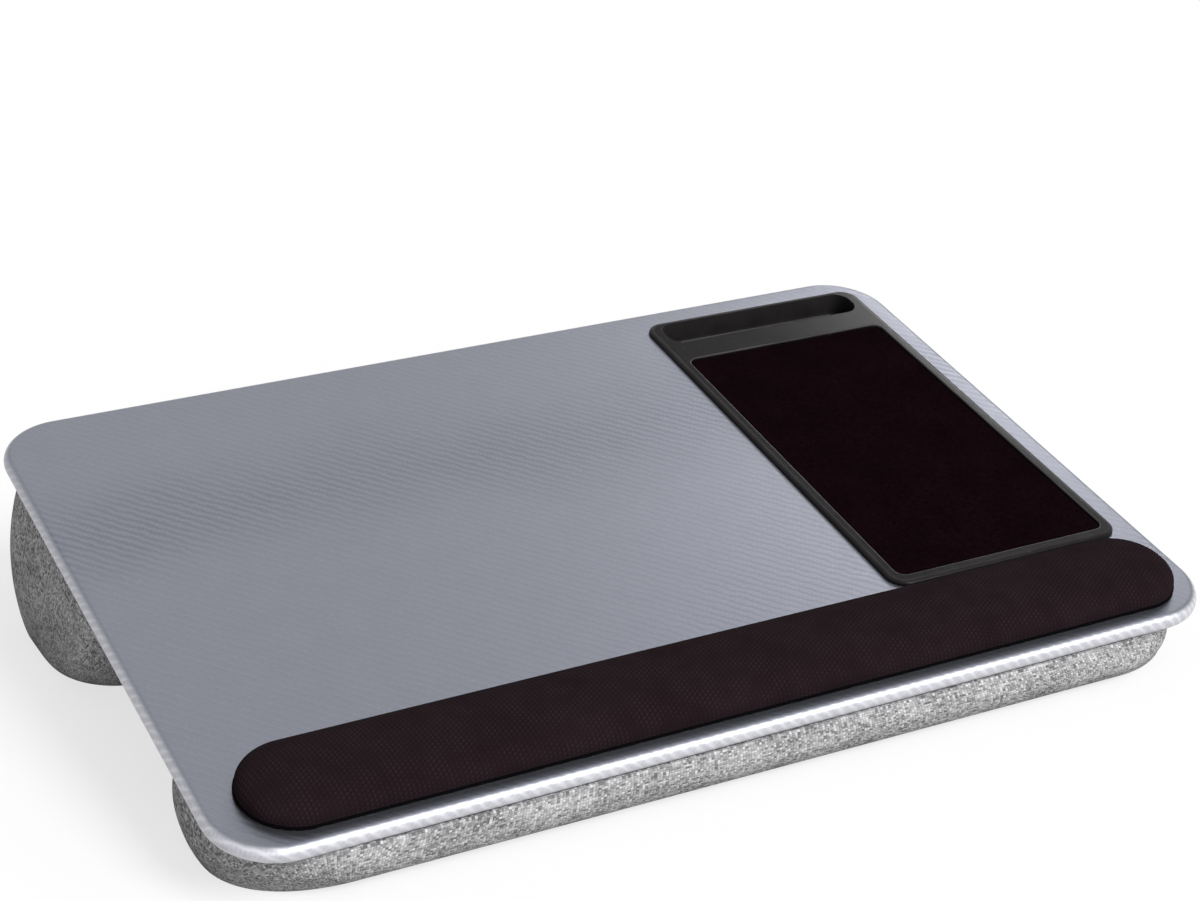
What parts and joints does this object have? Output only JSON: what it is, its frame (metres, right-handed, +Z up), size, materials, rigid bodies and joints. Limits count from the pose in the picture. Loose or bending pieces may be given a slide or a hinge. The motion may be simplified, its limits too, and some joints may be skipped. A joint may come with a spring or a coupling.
{
  "type": "lap desk",
  "caption": "Lap desk: a thin board tilted on two stuffed cushions, with a padded wrist rest, an inlaid mouse pad and a slot that holds a device upright.",
  "frame": {"origin": "on the floor, below the middle of the whole desk's box", "axes": "+X to the user's right along the board, +Y away from the user, +Z up"},
  "size_m": [0.5396, 0.3536, 0.1044],
  "materials": {
    "film": "satin silver film with fine diagonal ribs",
    "board": "bare engineered wood",
    "tray_plastic": "black moulded plastic, fine satin grain",
    "pad_cloth": "near-black smooth woven cloth",
    "foam_rubber": "black foam rubber",
    "adhesive": "pale adhesive sheet",
    "screw_steel": "zinc-plated steel",
    "rest_cloth": "black-brown fine mesh cloth",
    "rest_foam": "soft open foam",
    "cushion_cloth": "heather grey linen-look weave",
    "backing_cloth": "plain grey lining cloth",
    "cushion_filling": "light filling of small beads"
  },
  "bodies": {
    "root": {"board_core": "board", "board_film": "film", "tray": "tray_plastic", "tray_screw_1": "screw_steel", "tray_screw_2": "screw_steel", "tray_screw_3": "screw_steel", "tray_screw_4": "screw_steel", "tray_screw_5": "screw_steel", "tray_screw_6": "screw_steel", "mouse_pad_cloth": "pad_cloth", "mouse_pad_foam": "foam_rubber", "mouse_pad_adhesive": "adhesive", "wrist_rest_cover": "rest_cloth", "wrist_rest_foam": "rest_foam", "wrist_rest_base": "foam_rubber", "wrist_rest_adhesive": "adhesive", "front_cushion_cover": "cushion_cloth", "front_cushion_filling": "cushion_filling", "rear_cushion_cover": "cushion_cloth", "rear_cushion_filling": "cushion_filling", "cushion_backing": "backing_cloth", "cushion_adhesive": "adhesive"}
  },
  "joints": []
}
